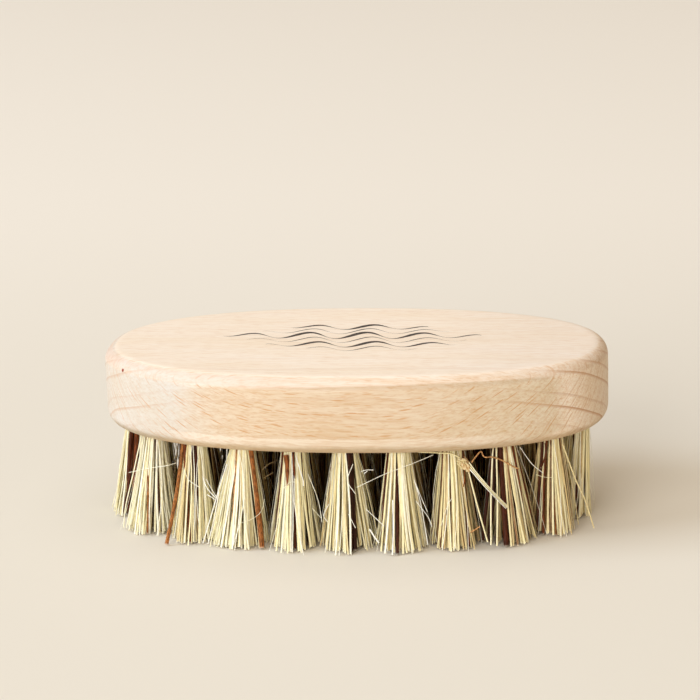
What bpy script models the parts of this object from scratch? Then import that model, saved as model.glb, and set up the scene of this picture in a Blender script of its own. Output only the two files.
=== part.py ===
"""Oval hand brush: a beech block, drilled from below, with fibre tufts set in its blind holes.

The block lies along X with its flat top facing +Z, and its tufts hang down from the
underside and stand on z = 0. Each tuft is a bundle of plant fibre folded round a flat wire
anchor, whose two ends bite into the wall of the hole. The origin is under the middle of the
block, level with the cut tips. Metres, +Z up.
"""

import math
import random

import bmesh
import bpy
from mathutils import Vector

MM = 0.001

# Block
BLOCK_LENGTH = 100.0 * MM
BLOCK_WIDTH = 52.5 * MM
BLOCK_THICKNESS = 15.4 * MM
TOP_ROUND = 2.8 * MM
UNDER_ROUND = 3.0 * MM

# Holes in the underside
HOLE_DIAMETER = 5.0 * MM
HOLE_DEPTH = 9.5 * MM
EDGE_TO_ROW = 5.8 * MM
ROW_SPACING = 9.6 * MM
MIDDLE_ROW_PITCH = 10.3 * MM
OUTER_ROW_TUFTS = 21
INNER_ROW_TUFTS = 15
MIDDLE_ROW_TUFTS = 4

# Tufts
BRISTLE_LENGTH = 19.4 * MM
STRAND_ROOT = 0.8 * MM
STRAND_TIP = 1.05 * MM
STRAND_GAP = 0.28 * MM
TIP_GAP = 0.4 * MM
OUTWARD_LEAN = 1.0 * MM
TRIM_UNEVENNESS = 0.9 * MM
TRIM_DEPTH = 0.5 * MM
FOLD_HEIGHT = 1.4 * MM
FOLD_INSET = 0.8 * MM

# Wire anchors
ANCHOR_THICKNESS = 0.5 * MM
ANCHOR_HEIGHT = 2.0 * MM
ANCHOR_BITE = 0.45 * MM

# Fits
CLEARANCE = 0.3 * MM
CUT_OVERRUN = 1.0 * MM

# The outline's squareness: 2 is an ellipse, and more fills its corners
OUTLINE_POWER = 2.3

# How far down a strand bends, how much of its spread it has there, and how uneven that is
BEND_PLACE_SHARE = 0.5
BEND_SPREAD_SHARE = 0.42
SPREAD_LOSS_SHARE = 0.12

# Facets
OUTLINE_SIDES = 96
ROUND_STEPS = 4
HOLE_SIDES = 10
STRAND_SIDES = 3
ROW_SAMPLES = 1200

UNDERSIDE = BRISTLE_LENGTH
MIDDLE_HEIGHT = UNDERSIDE + BLOCK_THICKNESS / 2
HOLE_RADIUS = HOLE_DIAMETER / 2
ROOT_RADIUS = HOLE_RADIUS - CLEARANCE
ANCHOR_REACH = HOLE_RADIUS + ANCHOR_BITE
ROOT_END = UNDERSIDE + HOLE_DEPTH - CLEARANCE
ANCHOR_TOP = ROOT_END - FOLD_HEIGHT
ANCHOR_BASE = ANCHOR_TOP - ANCHOR_HEIGHT

# Finishes: name, colour, roughness, metallic
BEECH = ("beech", (0.78, 0.60, 0.40), 0.55, 0.0)
FIBRE = ("plant_fibre", (0.70, 0.60, 0.36), 0.6, 0.0)


def clear_scene():
    for found in list(bpy.data.objects):
        bpy.data.objects.remove(found, do_unlink=True)


def material(finish):
    name, colour, roughness, metallic = finish
    made = bpy.data.materials.new(name)
    made.use_nodes = True
    shader = made.node_tree.nodes["Principled BSDF"]
    shader.inputs["Base Color"].default_value = (*colour, 1.0)
    shader.inputs["Roughness"].default_value = roughness
    shader.inputs["Metallic"].default_value = metallic
    return made


def new_object(name, bm):
    bmesh.ops.recalc_face_normals(bm, faces=bm.faces)
    mesh = bpy.data.meshes.new(name)
    bm.to_mesh(mesh)
    bm.free()
    made = bpy.data.objects.new(name, mesh)
    bpy.context.collection.objects.link(made)
    return made


def signed_power(value, power):
    return math.copysign(abs(value) ** power, value)


def oval_points(count, inset):
    """Points of the block's outline, drawn in by inset on every side."""
    half_length = BLOCK_LENGTH / 2 - inset
    half_width = BLOCK_WIDTH / 2 - inset
    points = []
    for i in range(count):
        turn = 2 * math.pi * i / count
        x = half_length * signed_power(math.cos(turn), 2 / OUTLINE_POWER)
        y = half_width * signed_power(math.sin(turn), 2 / OUTLINE_POWER)
        points.append(Vector((x, y)))
    return points


def ring_row(inset, count):
    """Places, with the row's direction there, spaced evenly from the middle of the front."""
    fine = oval_points(ROW_SAMPLES, inset)
    front = ROW_SAMPLES * 3 // 4
    fine = fine[front:] + fine[:front]
    steps = [following - point for point, following in zip(fine, fine[1:] + fine[:1])]
    row_length = sum(step.length for step in steps)
    places = []
    travelled = 0.0
    for point, step in zip(fine, steps):
        if travelled * count >= row_length * len(places):
            places.append((point, step.normalized()))
        travelled += step.length
    return places[:count]


def middle_row():
    along = Vector((1.0, 0.0))
    half_span = MIDDLE_ROW_PITCH * (MIDDLE_ROW_TUFTS - 1) / 2
    return [((i * MIDDLE_ROW_PITCH - half_span) * along, along) for i in range(MIDDLE_ROW_TUFTS)]


def tuft_plan():
    """Every tuft's name, its place, the row's direction there and the middle of its tip."""
    rows = [
        ("outer_tuft", ring_row(EDGE_TO_ROW, OUTER_ROW_TUFTS), OUTWARD_LEAN),
        ("inner_tuft", ring_row(EDGE_TO_ROW + ROW_SPACING, INNER_ROW_TUFTS), 0.0),
        ("middle_tuft", middle_row(), 0.0),
    ]
    plan = []
    for row_name, places, lean in rows:
        for i, (place, direction) in enumerate(places):
            outward = Vector((direction.y, -direction.x))
            plan.append((f"{row_name}_{i + 1:02d}", place, direction, place + lean * outward))
    return plan


def round_outline(radius, flat_half, flat_reach):
    """A circle with a flat at each end of its X diameter; the flats can stand out as slots."""
    flat_turn = math.asin(flat_half / radius)
    steps = HOLE_SIDES // 2
    points = []
    for sign in (1, -1):
        if flat_reach > radius:
            points.append(Vector((sign * flat_reach, -sign * flat_half)))
            points.append(Vector((sign * flat_reach, sign * flat_half)))
        for i in range(steps + 1):
            turn = flat_turn + (math.pi - 2 * flat_turn) * i / steps
            points.append(sign * radius * Vector((math.cos(turn), math.sin(turn))))
    return points


def ring_of_verts(bm, points, place, direction, z):
    """Vertices of a flat outline at a place and height, with its X along direction."""
    across = Vector((-direction.y, direction.x))
    ring = []
    for point in points:
        moved = place + point.x * direction + point.y * across
        ring.append(bm.verts.new((moved.x, moved.y, z)))
    return ring


def wall(bm, lower, upper):
    faces = []
    for i in range(len(lower)):
        faces.append(bm.faces.new((lower[i - 1], lower[i], upper[i], upper[i - 1])))
    return faces


def loop_edges(bm, ring):
    edges = []
    for i in range(len(ring)):
        pair = (ring[i - 1], ring[i])
        edges.append(bm.edges.get(pair) or bm.edges.new(pair))
    return edges


def build_hole_cutter(plan):
    """A blind hole at each place, with the two grooves that the anchor's ends lie in."""
    groove_half = ANCHOR_THICKNESS / 2 + CLEARANCE
    outline = round_outline(HOLE_RADIUS, groove_half, ANCHOR_REACH + CLEARANCE)
    bm = bmesh.new()
    for _, place, direction, _ in plan:
        low = ring_of_verts(bm, outline, place, direction, UNDERSIDE - CUT_OVERRUN)
        high = ring_of_verts(bm, outline, place, direction, UNDERSIDE + HOLE_DEPTH)
        bm.faces.new(low)
        bm.faces.new(high)
        wall(bm, low, high)
    cutter = new_object("hole_cutter", bm)
    cutter.hide_render = True
    cutter.display_type = "WIRE"
    return cutter


def build_block(plan):
    bm = bmesh.new()
    outline = [bm.verts.new((p.x, p.y, UNDERSIDE)) for p in oval_points(OUTLINE_SIDES, 0.0)]
    base = bm.faces.new(outline)
    raised = bmesh.ops.extrude_face_region(bm, geom=[base])["geom"]
    lifted = [part for part in raised if isinstance(part, bmesh.types.BMVert)]
    bmesh.ops.translate(bm, verts=lifted, vec=(0.0, 0.0, BLOCK_THICKNESS))
    top_edges = [e for e in bm.edges if min(v.co.z for v in e.verts) > MIDDLE_HEIGHT]
    under_edges = [e for e in bm.edges if max(v.co.z for v in e.verts) < MIDDLE_HEIGHT]
    for edges, radius in ((top_edges, TOP_ROUND), (under_edges, UNDER_ROUND)):
        bmesh.ops.bevel(bm, geom=edges, offset=radius, segments=ROUND_STEPS, profile=0.5, affect="EDGES")
    block = new_object("beech_block", bm)
    block.data.materials.append(material(BEECH))
    cut = block.modifiers.new("holes", "BOOLEAN")
    cut.operation = "DIFFERENCE"
    cut.solver = "EXACT"
    cut.object = build_hole_cutter(plan)
    block.data.shade_smooth()
    block.data.set_sharp_from_angle(angle=math.radians(30))


def strand_rings():
    """Each ring of strands in a tuft, from the rim inwards: its radius and its strands."""
    pitch = STRAND_ROOT + STRAND_GAP
    radius = ROOT_RADIUS - (STRAND_ROOT + STRAND_GAP / 2) / 2
    rings = []
    while radius > pitch / 2:
        rings.append((radius, int(math.pi / math.asin(pitch / 2 / radius))))
        radius -= pitch
    if radius > 0:
        rings.append((0.0, 1))
    return rings


def strand_section(bm, centre, turn, width, z):
    """A strand's cross-section, with one flat side facing away from the tuft's middle."""
    ring = []
    for i in range(STRAND_SIDES):
        angle = turn + 2 * math.pi * (i + 0.5) / STRAND_SIDES
        corner = centre + width / 2 * Vector((math.cos(angle), math.sin(angle)))
        ring.append(bm.verts.new((corner.x, corner.y, z)))
    return ring


def add_strand(bm, root, tip, turn, cut):
    """A strand from the root plug down to its cut tip, open where it joins the plug."""
    middle = root.lerp(tip, BEND_SPREAD_SHARE)
    middle_z = UNDERSIDE + (cut - UNDERSIDE) * BEND_PLACE_SHARE
    top = strand_section(bm, root, turn, STRAND_ROOT, UNDERSIDE)
    bend = strand_section(bm, middle, turn, (STRAND_ROOT + STRAND_TIP) / 2, middle_z)
    end = strand_section(bm, tip, turn, STRAND_TIP, cut)
    wall(bm, bend, top)
    wall(bm, end, bend)
    bm.faces.new(end)
    return loop_edges(bm, top)


def add_strands(bm, place, tip_middle, spread, chance):
    edges = []
    rings = strand_rings()
    rim_radius = rings[0][0]
    for radius, count in rings:
        start = chance.random()
        for i in range(count):
            turn = 2 * math.pi * (i + start) / count
            out = Vector((math.cos(turn), math.sin(turn)))
            reach = spread * (1 - SPREAD_LOSS_SHARE * chance.random()) * radius / rim_radius
            cut = max(0.0, chance.uniform(-TRIM_DEPTH, TRIM_UNEVENNESS))
            edges += add_strand(bm, place + radius * out, tip_middle + reach * out, turn, cut)
    return edges


def add_root_plug(bm, place, direction):
    """The packed and folded fibre in the hole, with the anchor's two ends standing out."""
    outline = round_outline(ROOT_RADIUS, ANCHOR_THICKNESS / 2, 0.0)
    fold = [point * (ROOT_RADIUS - FOLD_INSET) / ROOT_RADIUS for point in outline]
    mouth = ring_of_verts(bm, outline, place, direction, UNDERSIDE)
    low = ring_of_verts(bm, outline, place, direction, ANCHOR_BASE)
    high = ring_of_verts(bm, outline, place, direction, ANCHOR_TOP)
    end = ring_of_verts(bm, fold, place, direction, ROOT_END)
    wall(bm, mouth, low)
    band = wall(bm, low, high)
    wall(bm, high, end)
    bm.faces.new(end)
    flat_reach = math.sqrt(ROOT_RADIUS ** 2 - (ANCHOR_THICKNESS / 2) ** 2)
    for face, sign in ((band[0], 1), (band[len(band) // 2], -1)):
        anchor_end = bmesh.ops.extrude_discrete_faces(bm, faces=[face])["faces"][0]
        shift = sign * (ANCHOR_REACH - flat_reach) * direction
        bmesh.ops.translate(bm, verts=anchor_end.verts, vec=(shift.x, shift.y, 0.0))
    return loop_edges(bm, mouth)


def build_tuft(name, place, direction, tip_middle, spread, finish, chance):
    bm = bmesh.new()
    edges = add_root_plug(bm, place, direction)
    edges += add_strands(bm, place, tip_middle, spread, chance)
    bmesh.ops.triangle_fill(bm, use_beauty=True, edges=edges, normal=(0.0, 0.0, -1.0))
    tuft = new_object(name, bm)
    tuft.data.materials.append(finish)


def main():
    clear_scene()
    plan = tuft_plan()
    build_block(plan)
    finish = material(FIBRE)
    chance = random.Random(12)
    for name, place, direction, tip_middle in plan:
        room = min((tip_middle - other[3]).length for other in plan if other[0] != name)
        spread = (room - TIP_GAP - STRAND_TIP) / 2
        build_tuft(name, place, direction, tip_middle, spread, finish, chance)


main()
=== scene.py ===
"""The looks of the oval hand brush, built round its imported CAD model.

The brush stands on its cut tips at z = 0, with its flat wooden top up and the side that the
photograph shows towards -Y. Everything is in metres, in the frame of the CAD model. The block
and each tuft are finer meshes that stand for the CAD solids. Loose hairs, a torn husk with its
straw, and a small ink ornament lie on them.
"""

import math
import random
from collections import namedtuple

import bmesh
import bpy
from mathutils import Matrix, Vector, noise
from mathutils.geometry import delaunay_2d_cdt, interpolate_bezier


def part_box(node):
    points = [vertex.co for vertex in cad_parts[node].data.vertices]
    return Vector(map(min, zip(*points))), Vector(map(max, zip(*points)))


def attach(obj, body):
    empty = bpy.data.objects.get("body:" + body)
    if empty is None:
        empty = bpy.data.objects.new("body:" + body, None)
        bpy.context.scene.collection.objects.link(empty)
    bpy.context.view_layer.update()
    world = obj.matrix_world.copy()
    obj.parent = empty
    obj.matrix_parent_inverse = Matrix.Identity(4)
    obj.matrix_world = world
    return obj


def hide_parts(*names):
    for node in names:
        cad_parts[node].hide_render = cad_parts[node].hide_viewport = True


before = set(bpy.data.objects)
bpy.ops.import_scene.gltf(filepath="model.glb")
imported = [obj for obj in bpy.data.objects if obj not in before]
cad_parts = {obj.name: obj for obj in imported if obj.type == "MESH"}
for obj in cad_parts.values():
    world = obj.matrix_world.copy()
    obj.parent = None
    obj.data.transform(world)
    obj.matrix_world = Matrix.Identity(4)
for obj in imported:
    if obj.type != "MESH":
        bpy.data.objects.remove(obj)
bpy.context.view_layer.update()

MM = 0.001
PER_MM = 1000.0
SEED = 7

# The block: its size comes from the CAD solid, and its rounded edges and holes repeat part.py
BLOCK_LOW, BLOCK_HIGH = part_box("beech_block")
BLOCK_TOP = BLOCK_HIGH.z
UNDERSIDE = BLOCK_LOW.z
OUTLINE_POWER = 2.3
TOP_ROUND = 2.8 * MM
UNDER_ROUND = 3.0 * MM
HOLE_RADIUS = 2.5 * MM
HOLE_DEPTH = 9.5 * MM
HOLE_CHAMFER = 0.15 * MM
EDGE_TO_ROW = 5.8 * MM
FLAT_BORDER = 0.5 * MM
SANDING_WAVE = 0.05 * MM
SANDING_LENGTH = 9.0 * MM
OUTLINE_STEPS = 288
ROUND_STEPS = 8
SIDE_STEPS = 4
HOLE_STEPS = 24
MERGE_DISTANCE = 0.0001 * MM
SHARP_EDGE = math.radians(30)

# The tufts. Tints run from dark (0) to light (1). Hair widths are lowest and highest, fibre widths
# lowest, highest and usual. A reach is its mean and its scatter, as shares of the tuft's spread
ROOT_RADIUS = 2.25 * MM
ROOT_CLEARANCE = 0.3 * MM
ROOT_TOP = UNDERSIDE + HOLE_DEPTH - ROOT_CLEARANCE
ABOVE_UNDERSIDE = 1.0 * MM
NEAR_TIPS = 2.0 * MM
OUTER_FIBRES = 220
INNER_FIBRES = 120
RIM_CROWDING = 0.42
HAIR_WIDTHS_MM = (0.1, 0.17)
FIBRE_WIDTHS_MM = (0.2, 0.5, 0.31)
# Brown stalks in each outer and inner tuft: the inner tufts hold more, partly a browner mix of fibres and
# partly painted shade
OUTER_STALKS = 4
INNER_STALKS = 16
HAIRS = 12
FIBRE_STEPS = 4
FIBRE_SIDES = 5
STALK_SIDES = 8
SHARP_FIBRE = math.radians(60)
GOLDEN_ANGLE = math.pi * (3 - math.sqrt(5))
FLARE = 1.12
TIP_JITTER = 0.36 * MM
TWIST = 0.09
BOW = 0.22 * MM
HAIR_BOW = 0.7 * MM
FIBRE_REACH = (1.0, 0.05)
HAIR_REACH = (1.08, 0.1)
STRAY_SHARE = 0.05
STRAY_REACH = 1.2
SHORTEST_TIP = 0.15 * MM
LONGEST_TRIM = 0.9 * MM
# Tints of the outer and inner tufts' pale fibres: the inner tufts' darker tint is painted shade inside the
# brush
OUTER_TINT = 0.68
INNER_SHADED_TINT = 0.14
HAIR_TINT = 0.97
TINT_SPREAD = 0.22
LIGHTEST_FIBRE = 0.94
FIBRE_UNEVEN = 0.08
STALK_UNEVEN = 0.1
LOOSE_UNEVEN = 0.12

# A fibre's finish, as its place among the fibre materials, and a way that no fibre runs, from
# which the corners of its section are counted
PALE = 0
BROWN = 1
SECTION_WAY = Vector((0.31, -0.95, 0.05))
# How much darker the fibres inside a tuft's shell are painted, as painted shade, and how often they are
# brown, partly a browner mix of fibres and partly painted shade
SHELL_SHARE = 0.12
INSIDE_PAINTED_SHADE = 0.7
INSIDE_BROWN_AND_SHADE = 0.9

# The camera, fitted to the outline of the block in the photograph
PICTURE_PIXELS = 700
FOCAL_PIXELS = 2496.7
SENSOR_WIDTH = 36.0
CAMERA_DISTANCE = 0.5
CAMERA_RISE = math.radians(18.14)
CAMERA_TURN = math.radians(7.12)
CAMERA_ROLL = math.radians(-1.96)
AIM_HEIGHT = 18.0 * MM
SLIDE_RIGHT = -0.97 * MM
SLIDE_UP = 14.27 * MM


def srgb(red, green, blue):
    """A colour as a picture shows it, 0 to 255, as the linear colour that a shader takes."""
    shades = []
    for value in (red, green, blue):
        share = value / 255
        shades.append(share / 12.92 if share <= 0.04045 else ((share + 0.055) / 1.055) ** 2.4)
    return (*shades, 1.0)


class Material:
    """A node material with one Principled shader, and short calls that add nodes to it."""

    def __init__(self, name, **shader_values):
        self.made = bpy.data.materials.new(name)
        self.made.use_nodes = True
        self.tree = self.made.node_tree
        self.shader = self.tree.nodes["Principled BSDF"]
        for socket, value in shader_values.items():
            self.shader.inputs[socket.replace("_", " ")].default_value = value

    def node(self, kind, inputs, **settings):
        made = self.tree.nodes.new(kind)
        for setting, value in settings.items():
            setattr(made, setting, value)
        for socket, value in inputs.items():
            self.feed(made.inputs[socket], value)
        return made

    def feed(self, socket, value):
        if isinstance(value, bpy.types.NodeSocket):
            self.tree.links.new(value, socket)
        else:
            socket.default_value = value

    def set(self, socket, value):
        self.feed(self.shader.inputs[socket], value)

    def place(self):
        """The point on the object, in millimetres."""
        found = self.node("ShaderNodeTexCoord", {}).outputs["Object"]
        scaled = self.node("ShaderNodeVectorMath", {0: found, "Scale": PER_MM}, operation="SCALE")
        return scaled.outputs["Vector"]

    def vector(self, operation, first, second=(0.0, 0.0, 0.0), result="Vector"):
        made = self.node("ShaderNodeVectorMath", {0: first, 1: second}, operation=operation)
        return made.outputs[result]

    def math(self, operation, first, second=0.0):
        return self.node("ShaderNodeMath", {0: first, 1: second}, operation=operation).outputs[0]

    def times(self, first, second):
        return self.math("MULTIPLY", first, second)

    def parts(self, vector):
        return self.node("ShaderNodeSeparateXYZ", {0: vector}).outputs

    def joined(self, x, y, z):
        return self.node("ShaderNodeCombineXYZ", {"X": x, "Y": y, "Z": z}).outputs[0]

    def noise(self, place, scale, detail=2.0, roughness=0.5):
        """Noise over a place, with its own scale along each axis."""
        scaled = self.vector("MULTIPLY", place, scale)
        inputs = {"Vector": scaled, "Scale": 1.0, "Detail": detail, "Roughness": roughness}
        return self.node("ShaderNodeTexNoise", inputs).outputs["Fac"]

    def between(self, value, low, high, to_low=0.0, to_high=1.0):
        inputs = {"Value": value, "From Min": low, "From Max": high, "To Min": to_low, "To Max": to_high}
        return self.node("ShaderNodeMapRange", inputs, interpolation_type="SMOOTHSTEP").outputs[0]

    def mix(self, share, first, second, blend="MIX"):
        made = self.node("ShaderNodeMix", {}, data_type="RGBA", blend_type=blend)
        self.feed(made.inputs[0], share)
        self.feed(made.inputs[6], first)
        self.feed(made.inputs[7], second)
        return made.outputs[2]

    def ramp(self, value, stops):
        """Colours along a value: each stop is its place and its colour, 0 to 255."""
        made = self.node("ShaderNodeValToRGB", {"Fac": value})
        elements = made.color_ramp.elements
        while len(elements) < len(stops):
            elements.new(1.0)
        for element, (position, colour) in zip(elements, stops):
            element.position = position
            element.color = srgb(*colour)
        return made.outputs["Color"]

    def bump(self, height, distance, strength):
        inputs = {"Height": height, "Distance": distance, "Strength": strength}
        self.set("Normal", self.node("ShaderNodeBump", inputs).outputs[0])


# Beech. The growth rings are tilted layers, and the rays stand on edge across them, along the grain
RING_TILT = math.radians(28.0)
ACROSS_RINGS = (0.0, math.sin(RING_TILT), math.cos(RING_TILT))
ACROSS_RAYS = (0.0, -math.cos(RING_TILT), math.sin(RING_TILT))
LONG_RAY_CELL_MM = (3.4, 0.74, 22.0)
LONG_RAY_HALF_MM = (1.8, 0.09, 12.0)
SHORT_RAY_CELL_MM = (2.0, 0.45, 9.0)
SHORT_RAY_HALF_MM = (1.0, 0.055, 5.0)
SPECK_MM = (-44.0, -14.3, 32.9)
SPECK_RADIUS_MM = 0.42
# The top of the lower edge's painted light band, in millimetres above the floor
PAINTED_BAND_TOP_MM = UNDERSIDE / MM + 3.5

# The late line of each growth ring: its depth across the rings in millimetres, and how dark it is
RINGS_MM = [
    (5.6, 0.5), (8.7, 0.5), (12.1, 0.3), (15.5, 1.0), (17.9, 0.45), (22.3, 0.9),
    (25.2, 0.6), (28.4, 0.5), (31.3, 0.5), (34.6, 0.5), (37.6, 0.5), (40.8, 0.5),
]
RING_RISE_MM = 0.7
RING_EDGE_MM = 0.06

# How far the grain wanders, and how coarse its patterns are along the grain and across it
GRAIN_DRIFT_MM = 3.0
DRIFT_SCALE = (0.02, 0.06, 0.06)
STREAK_SCALE = (0.14, 2.6, 2.6)
BAND_SCALE = (0.03, 0.8, 0.8)
CLOUD_SCALE = (0.03, 0.16, 0.16)
PORE_SCALE = (0.4, 3.4, 3.4)
END_RAY_SCALE = (0.5, 3.2, 0.14)

# The lower edge's painted light band wavers a little, and fades along the block, far from its middle to
# near it; under it a strip is painted darker, as painted shade
PAINTED_BAND_WAVER_MM = 0.12
PAINTED_BAND_FADE_MM = (38.0, 24.0)
PAINTED_SHADE_BELOW_BAND_MM = (1.1, 2.4)


def ray_marks(wood, grain, cell, half, share):
    """Thin spindles scattered in the wood, one in each cell; share of the cells hold none."""
    scaled = wood.vector("DIVIDE", grain, cell)
    cells = wood.node("ShaderNodeTexVoronoi", {"Vector": scaled, "Scale": 1.0})
    away = wood.vector("SUBTRACT", scaled, cells.outputs["Position"])
    reach = tuple(size / length for size, length in zip(cell, half))
    distance = wood.vector("LENGTH", wood.vector("MULTIPLY", away, reach), result="Value")
    inside = wood.between(distance, 1.0, 0.35)
    chance = wood.node("ShaderNodeSeparateColor", {0: cells.outputs["Color"]}).outputs
    present = wood.between(chance[0], share, min(1.0, share + 0.35), 0.0, 1.0)
    return wood.times(inside, present)


def growth_rings(wood, depth):
    """Each ring darkens slowly towards a thin late line, and ends there."""
    darkest = 0.0
    for late_line, strength in RINGS_MM:
        rise = wood.between(depth, late_line - RING_RISE_MM, late_line, 0.0, strength)
        ring = wood.times(rise, wood.between(depth, late_line + RING_EDGE_MM, late_line))
        darkest = wood.math("MAXIMUM", ring, darkest)
    return darkest


def grain_place(wood, place):
    """How far a point lies along the grain, across the rays, and across the growth rings."""
    slow = wood.noise(place, DRIFT_SCALE, detail=1.0)
    drift = wood.times(wood.math("SUBTRACT", slow, 0.5), GRAIN_DRIFT_MM)
    across = wood.math("ADD", wood.vector("DOT_PRODUCT", place, ACROSS_RAYS, "Value"), drift)
    depth = wood.math("ADD", wood.vector("DOT_PRODUCT", place, ACROSS_RINGS, "Value"), drift)
    return wood.parts(place)[0], across, depth


def painted_lower_band(wood, place, clouds, streak, colour):
    """The lower edge: a band painted paler, as painted light, that fades to the ends, and a strip under it
    painted darker, as painted shade.
    """
    along, height = wood.parts(place)[0], wood.parts(place)[2]
    waver = wood.noise(place, (0.5, 0.5, 0.5), detail=3.0)
    band_height = wood.math("ADD", height, wood.between(waver, 0.3, 0.7, -PAINTED_BAND_WAVER_MM, PAINTED_BAND_WAVER_MM))
    band = wood.between(band_height, PAINTED_BAND_TOP_MM + PAINTED_BAND_WAVER_MM, PAINTED_BAND_TOP_MM - PAINTED_BAND_WAVER_MM, 0.0, 0.8)
    band = wood.times(band, wood.between(wood.math("ABSOLUTE", along), *PAINTED_BAND_FADE_MM))
    painted_light_tone = wood.ramp(clouds, [(0.3, (238, 223, 201)), (0.7, (243, 229, 212))])
    streaked = wood.mix(streak, painted_light_tone, srgb(228, 196, 160), blend="MULTIPLY")
    painted_shade_strip = wood.between(band_height, *(PAINTED_BAND_TOP_MM - below for below in PAINTED_SHADE_BELOW_BAND_MM))
    colour = wood.mix(band, colour, streaked)
    return wood.mix(painted_shade_strip, colour, srgb(222, 211, 192), blend="MULTIPLY")


def beech():
    wood = Material("beech", Roughness=0.52, Specular_IOR_Level=0.36)
    place = wood.place()
    along, across, depth = grain_place(wood, place)
    grain = wood.joined(along, across, depth)

    normal = wood.node("ShaderNodeNewGeometry", {}).outputs["Normal"]
    facing = wood.parts(normal)
    end_grain = wood.math("POWER", facing[0], 2.0)
    towards_right = wood.between(along, -22.0, 22.0, 0.0, 0.26)
    sideways = wood.math("ADD", wood.math("POWER", facing[1], 2.0), towards_right)
    side_on = wood.between(sideways, 0.84, 0.98)
    on_top = wood.between(facing[2], 0.9, 0.995)
    below_top = wood.between(facing[2], 0.995, 0.84)
    rounded = wood.times(wood.between(facing[2], 0.12, 0.4), below_top)
    paler_left = wood.between(along, -10.0, -40.0, 1.0, 0.5)

    # the growth rings show best on end grain
    ring_strength = wood.times(wood.between(end_grain, 0.0, 0.45, 0.14, 1.0), paler_left)
    late = growth_rings(wood, depth)

    long_rays = ray_marks(wood, grain, LONG_RAY_CELL_MM, LONG_RAY_HALF_MM, 0.0)
    short_rays = ray_marks(wood, grain, SHORT_RAY_CELL_MM, SHORT_RAY_HALF_MM, 0.1)
    fibres = wood.noise(grain, STREAK_SCALE, detail=4.0, roughness=0.7)
    bands = wood.noise(grain, BAND_SCALE)
    clouds = wood.noise(grain, CLOUD_SCALE)
    pores = wood.noise(grain, PORE_SCALE)
    end_rays = wood.noise(grain, END_RAY_SCALE)

    # shares of the ends and edges painted in another tone than the rest, as painted light and shade: cooler
    # at the left end, darker on the top's rounded edges and more so at the left, darker at the right end
    # and towards the right of the top, and less warm on the right of the sides
    left_end = wood.times(wood.between(end_grain, 0.0, 0.16), wood.between(along, 0.0, -30.0))
    left_end = wood.times(left_end, wood.between(rounded, 0.0, 0.8, 1.0, 0.25))
    left_edge = wood.times(rounded, wood.between(along, 10.0, -30.0))
    right_end = wood.times(wood.between(end_grain, 0.3, 0.8), wood.between(along, 0.0, 30.0))
    right_side = wood.times(side_on, wood.between(along, 8.0, 38.0))
    right_top = wood.times(on_top, wood.between(along, 5.0, 45.0))

    # the long sides are painted warmer than the top and ends, and less warm towards the right: painted
    # light, for the sheen on the top and the warm light on the sides
    warm = wood.ramp(clouds, [(0.3, (225, 203, 173)), (0.7, (230, 211, 186))])
    warm_right = wood.ramp(clouds, [(0.3, (226, 209, 181)), (0.7, (231, 217, 194))])
    pale = wood.ramp(clouds, [(0.3, (249, 233, 212)), (0.7, (252, 239, 223))])
    colour = wood.mix(side_on, pale, wood.mix(right_side, warm, warm_right))

    # streaks, bands and pores run along the grain, and are faint on the top and at the left
    faint_left = wood.between(wood.math("MAXIMUM", left_end, left_edge), 0.0, 1.0, 1.0, 0.55)
    plain = wood.times(wood.between(on_top, 0.0, 1.0, 1.0, 0.38), faint_left)
    streak = wood.times(wood.between(fibres, 0.4, 0.64), wood.times(plain, 0.42))
    band = wood.times(wood.between(bands, 0.42, 0.62), wood.times(plain, 0.2))
    pore = wood.times(wood.between(pores, 0.52, 0.68), wood.times(plain, 0.34))
    on_ends = wood.times(wood.between(end_grain, 0.1, 0.5, 0.0, 0.5), paler_left)
    end_ray = wood.times(wood.between(end_rays, 0.5, 0.66), on_ends)
    # the last five tones are painted light and shade; the first four are the grain
    tones = [
        (streak, (238, 212, 180)), (band, (238, 222, 196)), (pore, (230, 198, 156)),
        (end_ray, (232, 210, 186)), (left_end, (223, 229, 236)), (right_end, (240, 236, 230)),
        (right_top, (247, 247, 249)), (rounded, (241, 237, 234)), (left_edge, (249, 246, 249)),
    ]
    for share, tone in tones:
        colour = wood.mix(share, colour, srgb(*tone), blend="MULTIPLY")
    colour = wood.mix(wood.times(late, ring_strength), colour, srgb(200, 154, 116))

    # rays are dark dashes, fainter where they are cut flat, on the ends, the top and the round
    across_rays = wood.math("ABSOLUTE", wood.vector("DOT_PRODUCT", normal, ACROSS_RAYS, "Value"))
    ray_fade = wood.between(across_rays, 0.93, 0.985, 1.0, 0.16)
    ray_fade = wood.times(ray_fade, wood.between(end_grain, 0.1, 0.9, 1.0, 0.6))
    for face, share in ((rounded, 0.4), (on_top, 0.5)):
        ray_fade = wood.times(ray_fade, wood.between(face, 0.0, 1.0, 1.0, share))
    for rays, share, tone in ((short_rays, 0.55, (214, 164, 114)), (long_rays, 0.82, (206, 153, 100))):
        colour = wood.mix(wood.times(rays, wood.times(ray_fade, share)), colour, srgb(*tone))

    # a painted light band along the lower edge, with painted shade under it
    colour = painted_lower_band(wood, place, clouds, streak, colour)
    from_speck = wood.vector("LENGTH", wood.vector("SUBTRACT", place, SPECK_MM), result="Value")
    speck = wood.between(from_speck, SPECK_RADIUS_MM, SPECK_RADIUS_MM * 0.6)
    wood.set("Base Color", wood.mix(speck, colour, srgb(140, 54, 26)))

    worn = wood.math("SUBTRACT", wood.times(fibres, 0.6), wood.times(long_rays, 0.5))
    wood.bump(worn, 0.05 * MM, 0.35)
    wood.set("Roughness", wood.between(fibres, 0.3, 0.7, 0.46, 0.58))
    return wood.made


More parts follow.
